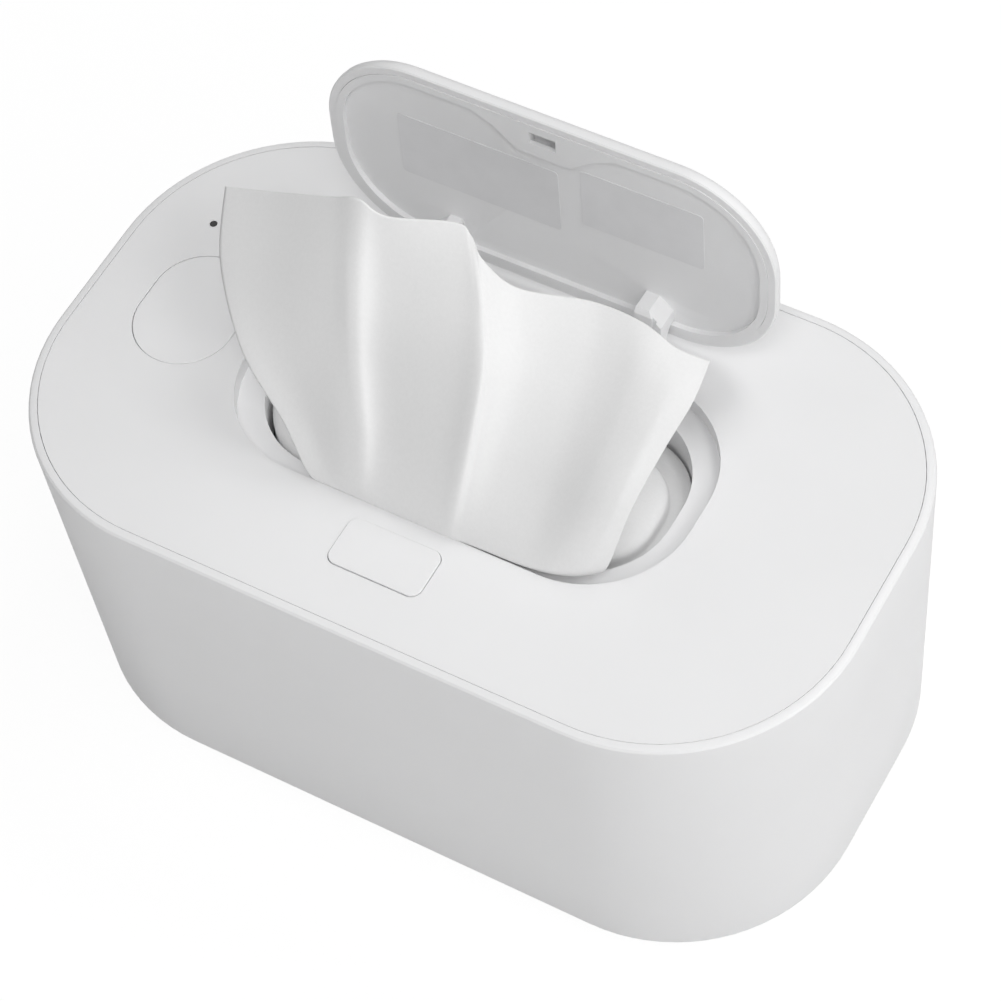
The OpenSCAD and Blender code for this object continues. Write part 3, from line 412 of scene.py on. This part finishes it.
# Marks the outline of the raised border inside the lid, for its rounder bevel
def borderGroup(s):
    joints = {j["name"]: j for j in frame["record"]["behaviour"]["joints"]}
    hinge = joints["lid_hinge"]
    turn = math.radians(hinge["range_deg"][1])
    group = bpy.data.node_groups.new("borderOutline", "GeometryNodeTree")
    group.interface.new_socket("Geometry", in_out="INPUT", socket_type="NodeSocketGeometry")
    group.interface.new_socket("Geometry", in_out="OUTPUT", socket_type="NodeSocketGeometry")
    n = group.nodes
    start, end = n.new("NodeGroupInput"), n.new("NodeGroupOutput")
    place = n.new("GeometryNodeInputPosition")
    arm = n.new("ShaderNodeVectorMath")
    arm.operation = "SUBTRACT"
    arm.inputs[1].default_value = hinge["pos_m"]
    reach = n.new("ShaderNodeVectorMath")
    reach.operation = "DOT_PRODUCT"
    reach.inputs[1].default_value = (0, -math.sin(turn), -math.cos(turn))
    onFace = n.new("FunctionNodeCompare")
    onFace.data_type = "FLOAT"
    onFace.operation = "EQUAL"
    onFace.inputs[1].default_value = s["face"]
    onFace.inputs["Epsilon"].default_value = s["match"]
    store = n.new("GeometryNodeStoreNamedAttribute")
    store.data_type = "FLOAT"
    store.domain = "EDGE"
    store.inputs["Name"].default_value = "bevel_weight_edge"
    link(group, place.outputs[0], arm.inputs[0])
    link(group, arm.outputs["Vector"], reach.inputs[0])
    link(group, reach.outputs["Value"], onFace.inputs[0])
    link(group, start.outputs[0], store.inputs["Geometry"])
    link(group, onFace.outputs[0], store.inputs["Value"])
    link(group, store.outputs["Geometry"], end.inputs[0])
    return group


borderSet = {
    "round": 0.0006,              # rounding of the border's outline
    "face": -0.0008,              # height of the border's face over the hinge axis
    "match": 0.00004,             # how near to that height a corner has to be
    "segments": 4,
}
shadeGroup = smoothGroup(shadeSet)


def bevelOn(ob, name, width, segments, limit):
    edge = ob.modifiers.new(name, "BEVEL")
    edge.width = width
    edge.segments = segments
    edge.limit_method = limit
    edge.angle_limit = math.radians(shadeSet["bevel"])
    edge.harden_normals = True
    edge.miter_outer = "MITER_ARC"


def finishEdges(ob, width, border=None):
    shade = ob.modifiers.new("shade", "NODES")
    shade.node_group = shadeGroup
    if width:
        flat = ob.modifiers.new("flat", "DECIMATE")
        flat.decimate_type = "DISSOLVE"
        flat.angle_limit = math.radians(shadeSet["flat"])
        if border:
            outline = ob.modifiers.new("outline", "NODES")
            outline.node_group = borderGroup(border)
            bevelOn(ob, "border", border["round"], border["segments"], "WEIGHT")
        bevelOn(ob, "edge", width, shadeSet["segments"], "ANGLE")


for name in nodes:
    finishEdges(nodes[name], edgeSet.get(name, 0), borderSet if name == "lid_liner" else None)
print("edges rounded")

wipeSet = {
    "across": 144,                # faces across and up the cloth
    "up": 112,
    "thick": 0.0004,
    "freeFrom": 0.43,             # share of the length over which the cloth is held
    "freeOver": 0.16,             # share of the length over which it comes free
    "flutter": 0.35,              # sway of the free part, in mm, and its scales
    "sway": (0.077, 0.026, 3.2),
    "ripple": 0.12,               # small unevenness of the cloth, in mm, and its scales
    "grain": (0.16, 0.05, 4),
    "way": (0.34, -0.45, 0.83),   # direction in which both stand out
    "colour": wipeCloth,
}

# Columns of the wipe from the recess's front edge up: X, Y and height over the cover, in mm
wipeColumns = [
    [(-23.5, -27.8, 0.5), (-33.1, -23, 10.8), (-45.6, -16.8, 21.8),
     (-55.7, -5.7, 34.1), (-59.6, 5.8, 44.7)],
    [(-18.5, -27.8, 0.5), (-26.4, -21.9, 11.4), (-36.2, -14.5, 24.3),
     (-41.4, -4.9, 38.1), (-46.5, 6.3, 49.2)],
    [(-14.7, -27.8, 0.5), (-18.7, -21.8, 15), (-24.2, -12.9, 29.6),
     (-27.3, -4.2, 44), (-32, 6.2, 55.4)],
    [(-11.5, -27.8, 0.5), (-13, -21.5, 16.1), (-18, -12.5, 31),
     (-20.9, -4.2, 45.2), (-24.4, 6, 59.1)],
    [(-6.1, -27.8, 0.5), (-8.5, -19.5, 16.2), (-12.7, -10.1, 31),
     (-15.6, -1.8, 43.2), (-17.8, 6.2, 56.4)],
    [(6, -27.8, 0.5), (5.9, -18.9, 19.7), (4, -7.9, 35.3),
     (0.5, 2.7, 46.3), (-4.5, 11.4, 55.7)],
    [(10, -27.8, 0.5), (11.4, -18.1, 22.6), (10.3, -8.1, 36.2),
     (6.2, 1.2, 44.7), (-0.6, 11, 53.8)],
    [(12.8, -27.5, 0.5), (13.2, -16.8, 20.4), (12, -7, 34.6),
     (8.3, 1, 42.5), (3.1, 8.8, 50.3)],
    [(18.6, -27.3, 0.5), (18.2, -15.3, 17.7), (17.3, -4.5, 30.3),
     (14.8, 3.8, 37.5), (10, 10.1, 43.1)],
    [(27.2, -27.1, 0.5), (29.1, -15.2, 15.9), (29.6, -3.9, 27.7),
     (28.7, 6.2, 35.5), (24.5, 15.3, 40.5)],
    [(34.2, -26.2, 0.5), (39, -16.7, 18.5), (40.2, -5.4, 29.4),
     (40.2, 5.3, 36.9), (36.5, 15, 40.6)],
    [(39.8, -24.1, 0.5), (45.1, -15.8, 19.2), (47.1, -5.3, 30.1),
     (47.8, 4.7, 36.5), (45.2, 13.5, 38.6)],
    [(44.1, -20.8, 0.5), (48, -13.8, 17.4), (51, -3.7, 28.1),
     (53.1, 5.4, 34.5), (52.1, 15, 36.2)],
]


# How a column goes on under the recess's edge: share of its first X, then Y and height, in mm
belowSet = [(0.75, -4, -6.2), (0.8, -10, -4.4), (0.88, -17.8, -0.4)]


def belowRecess(x):
    return [(share * x, y, z) for share, y, z in belowSet]


def clamped(v):
    return min(1, max(0, v))


def curveThrough(points, t):
    n = len(points) - 1
    s = min(t * n, n - 1e-6)
    i = int(s)
    u = s - i
    a, b = points[max(i - 1, 0)], points[i]
    c, d = points[i + 1], points[min(i + 2, n)]
    return (b * 2 + (c - a) * u + (a * 2 - b * 5 + c * 4 - d) * u * u
            + (b * 3 - a - c * 3 + d) * u ** 3) * 0.5


def wipePoint(full, i, j, s):
    t, u = j / s["up"], i / s["across"]
    p = curveThrough([curveThrough(col, t) for col in full], u)
    free = clamped((t - s["freeFrom"]) / s["freeOver"])
    side, up, turn = s["sway"]
    sway = noise.noise(Vector((p.x * side, p.z * up, u * turn))) * s["flutter"] * free
    side, up, seed = s["grain"]
    ripple = noise.noise(Vector((i * side, j * up, seed))) * s["ripple"] * free
    return p + Vector(s["way"]) * (sway + ripple)


def makeWipe(columns, s):
    full = [[Vector(p) for p in belowRecess(col[0][0]) + col] for col in columns]
    bm = bmesh.new()
    grid = []
    for j in range(s["up"] + 1):
        row = [wipePoint(full, i, j, s) / 1000 for i in range(s["across"] + 1)]
        grid.append([bm.verts.new(p + Vector((0, 0, coverTop))) for p in row])
    for low, high in zip(grid, grid[1:]):
        for i in range(s["across"]):
            bm.faces.new((low[i], low[i + 1], high[i + 1], high[i]))
    area = sum(f.calc_area() for f in bm.faces)
    mesh = bpy.data.meshes.new("pulledWipe")
    bm.to_mesh(mesh)
    bm.free()
    smoothFaces(mesh)
    ob = addObject("pulledWipe", mesh)
    solid = ob.modifiers.new("cloth", "SOLIDIFY")
    solid.thickness = s["thick"]
    solid.offset = -1
    bpy.context.view_layer.update()
    ready = ob.evaluated_get(bpy.context.evaluated_depsgraph_get())
    thick = bpy.data.meshes.new_from_object(ready)
    ob.modifiers.clear()
    ob.data = thick
    give(ob, s["colour"])
    return ob, area


wipe, wipeArea = makeWipe(wipeColumns, wipeSet)
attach(wipe, "cover")
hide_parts("pulled_wipe")
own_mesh(wipe)
print("wipe made, area", round(wipeArea, 5))

# Stack of folded wipes. Crown: height over its deck, then its left and right ends, each as a
# place in X, a depth, a corner radius and a middle in Y, all in mm
stackSet = {
    "layers": 34,
    "corner": 18,
    "straight": 24,
    "flare": 0.26,                # share of the crown's length over which its left end narrows
    "ragged": 0.00045,            # unevenness of the folds, in metres, and its scales
    "rag": (40, 3.1),
    "fold": [(0.08, 0.0007), (0.3, 0.0), (0.7, 0.0), (0.92, 0.0007)],   # height, inset
    "inset": 0.0006,              # how far in the layers, the end layers and the deck stand
    "endInset": 0.0015,
    "deckInset": 0.004,
    "cornerRadius": 34,
    "crownHeight": 14.5,
    "crown": [
        (0.6, (-48.5, 36, 17.8, -2.4), (48.5, 37.4, 16, 2.8)),
        (8.2, (-48.5, 36, 17.8, -2.4), (48.5, 37.4, 16, 2.8)),
        (8.7, (-48.5, 36, 17.8, -2.4), (48, 36.8, 15.5, 2.8)),
        (9.1, (-48.5, 36, 17.8, -2.4), (47, 33.4, 14, 1)),
        (9.4, (-48.5, 36, 17.8, -2.4), (45.8, 30.4, 13, -0.3)),
        (10.2, (-48.5, 36, 17.8, -2.4), (45.5, 30, 13, -0.5)),
        (11.8, (-48.5, 36, 17.8, -2.4), (45.5, 29.8, 13, -0.5)),
        (12.7, (-48.4, 35.8, 17.7, -2.4), (45, 28.8, 12.6, -0.5)),
        (13.2, (-48.2, 35.4, 17.5, -2.4), (44, 27, 12, -0.5)),
        (13.8, (-47.7, 34.4, 17, -2.4), (42, 24, 10, -0.5)),
        (14.2, (-46.8, 32.6, 16.1, -2.4), (39.5, 20, 7.8, -0.5)),
        (14.4, (-45.4, 29.8, 14.7, -2.4), (35, 15, 5.5, -0.5)),
        (14.5, (-42, 23, 11.3, -2.4), (29, 8, 3, -0.5)),
    ],
    "colour": wipeCloth,
}


def eased(v):
    v = clamped(v)
    return v * v * (3 - 2 * v)


# Closed ring with its own rounded end on each side. The sides run straight from the right end,
# and bend to the left end's depth over the flare
def roundedRing(left, right, z, s):
    corners = []
    for c in range(4):
        far, sy = c in (0, 3), (1 if c < 2 else -1)
        x, depth, r, y = right if far else left
        middle = Vector((x - r if far else x + r, y + sy * (depth / 2 - r), z))
        for i in range(s["corner"] + 1):
            a = math.radians(90 * (c + i / s["corner"]))
            corners.append(middle + Vector((r * math.cos(a), r * math.sin(a), 0)))
    ring = []
    for k, p in enumerate(corners):
        ring.append(p)
        side, last = divmod(k, s["corner"] + 1)
        if last == s["corner"]:
            after = corners[(k + 1) % len(corners)]
            for m in range(1, s["straight"]):
                t = m / s["straight"]
                q = p.lerp(after, t)
                if side == 0:
                    q.y = after.y + (p.y - after.y) * eased((1 - t) / s["flare"])
                elif side == 2:
                    q.y = p.y + (after.y - p.y) * eased(t / s["flare"])
                ring.append(q)
    return ring


def evenRing(half, depth, inset, z, s):
    end = (depth - 2 * inset, s["cornerRadius"] / 1000 - inset, 0)
    return roundedRing((inset - half, *end), (half - inset, *end), z, s)


def stackRings(low, high, s):
    half, depth = (high.x - low.x) / 2, high.y - low.y
    deck = high.z - s["crownHeight"] / 1000
    step = (deck - low.z) / s["layers"]
    rag, turn = s["rag"]
    rings = []
    for k in range(s["layers"]):
        edge = s["inset"] if 0 < k < s["layers"] - 1 else s["endInset"]
        for share, inset in s["fold"]:
            ring = evenRing(half, depth, inset + edge, low.z + (k + share) * step, s)
            for p in ring:
                out = Vector((p.x, p.y, 0)).normalized()
                p += out * noise.noise(Vector((p.x * rag, p.y * rag, k * turn))) * s["ragged"]
            rings.append(ring)
    rings.append(evenRing(half, depth, s["deckInset"], deck, s))
    for up, *ends in s["crown"]:
        left, right = ([v / 1000 for v in end] for end in ends)
        rings.append(roundedRing(left, right, deck + up / 1000, s))
    return rings


def makeStack(s):
    low, high = (Vector(v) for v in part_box("wipe_stack"))
    bm = bmesh.new()
    loops = [[bm.verts.new(p) for p in ring] for ring in stackRings(low, high, s)]
    n = len(loops[0])
    for a, b in zip(loops, loops[1:]):
        for i in range(n):
            j = (i + 1) % n
            bm.faces.new((a[i], a[j], b[j], b[i]))
    bm.faces.new(list(reversed(loops[0])))
    bm.faces.new(loops[-1])
    mesh = bpy.data.meshes.new("wipeStack")
    bm.to_mesh(mesh)
    bm.free()
    smoothFaces(mesh)
    ob = addObject("wipeStack", mesh)
    give(ob, s["colour"])
    return ob


stack = makeStack(stackSet)
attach(stack, "tray")
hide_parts("wipe_stack")
print("stack made")

stageSet = {
    "floor": (0.86, 0.86, 0.86),
    "reach": 4,                   # half width of the floor, in metres
    "rough": 0.9,
    "white": 1.06,
    "shadow": 0.14,               # share of the floor's own shading that the camera sees
    "world": 0.24,
    "aim": (0, 0, 0.06),
    "panel": (0.4, 0.4),
    "lamps": {                    # place and power
        "lowRight": ((1.22, 0, 0.505), 1.75),
        "lowFront": ((0, -1.22, 0.505), 0.7),
        "rearRight": ((0.79, 0.55, 0.93), 1.6),
        "frontRight": ((0.84, -0.48, 0.93), 2.3),
        "highRear": ((0.21, 0.57, 1.21), 2.7),
        "highRight": ((0.61, 0, 1.21), 1.2),
        "highFront": ((0.305, -0.53, 1.21), 3.8),
    },
}


# One for rays that see the plain white stage, zero for rays that carry light to the object
def whiteSeen(tree, glossyToo):
    rays = tree.nodes.new("ShaderNodeLightPath")
    seen = tree.nodes.new("ShaderNodeMath")
    seen.operation = "MAXIMUM"
    link(tree, rays.outputs["Is Camera Ray"], seen.inputs[0])
    link(tree, rays.outputs["Is Transmission Ray"], seen.inputs[1])
    if not glossyToo:
        return seen.outputs[0]
    both = tree.nodes.new("ShaderNodeMath")
    both.operation = "MAXIMUM"
    link(tree, seen.outputs[0], both.inputs[0])
    link(tree, rays.outputs["Is Glossy Ray"], both.inputs[1])
    return both.outputs[0]


def makeFloor(s):
    bm = bmesh.new()
    bmesh.ops.create_grid(bm, x_segments=8, y_segments=8, size=s["reach"])
    mesh = bpy.data.meshes.new("studioFloor")
    bm.to_mesh(mesh)
    bm.free()
    floor = addObject("studioFloor", mesh)
    mat, tree, shader = newMaterial("paleFloor")
    shader.inputs["Base Color"].default_value = (*s["floor"], 1)
    shader.inputs["Roughness"].default_value = s["rough"]
    glow = tree.nodes.new("ShaderNodeEmission")
    glow.inputs["Strength"].default_value = s["white"]
    mix = tree.nodes.new("ShaderNodeMixShader")
    share = tree.nodes.new("ShaderNodeMath")
    share.operation = "MULTIPLY"
    share.inputs[1].default_value = 1 - s["shadow"]
    link(tree, whiteSeen(tree, False), share.inputs[0])
    link(tree, share.outputs[0], mix.inputs["Fac"])
    link(tree, shader.outputs["BSDF"], mix.inputs[1])
    link(tree, glow.outputs["Emission"], mix.inputs[2])
    link(tree, mix.outputs["Shader"], tree.nodes["Material Output"].inputs["Surface"])
    give(floor, mat)


def makeWorld(s):
    world = bpy.data.worlds.new("studioWorld")
    bpy.context.scene.world = world
    world.use_nodes = True
    tree = world.node_tree
    soft = tree.nodes["Background"]
    soft.inputs["Color"].default_value = (1, 1, 1, 1)
    soft.inputs["Strength"].default_value = s["world"]
    bright = tree.nodes.new("ShaderNodeBackground")
    bright.inputs["Color"].default_value = (1, 1, 1, 1)
    bright.inputs["Strength"].default_value = s["white"]
    mix = tree.nodes.new("ShaderNodeMixShader")
    link(tree, whiteSeen(tree, True), mix.inputs["Fac"])
    link(tree, soft.outputs["Background"], mix.inputs[1])
    link(tree, bright.outputs["Background"], mix.inputs[2])
    link(tree, mix.outputs["Shader"], tree.nodes["World Output"].inputs["Surface"])


def softBox(name, place, power, s):
    data = bpy.data.lights.new(name, "AREA")
    data.shape = "RECTANGLE"
    data.size, data.size_y = s["panel"]
    data.energy = power
    lamp = bpy.data.objects.new(name, data)
    bpy.context.scene.collection.objects.link(lamp)
    way = Vector(place) - Vector(s["aim"])
    turn = way.to_track_quat("Z", "Y").to_matrix().to_4x4()
    lamp.matrix_world = Matrix.Translation(place) @ turn


makeFloor(stageSet)
makeWorld(stageSet)
for name, lamp in stageSet["lamps"].items():
    softBox(name, *lamp, stageSet)
bpy.context.scene.view_settings.view_transform = "Standard"
print("stage set")
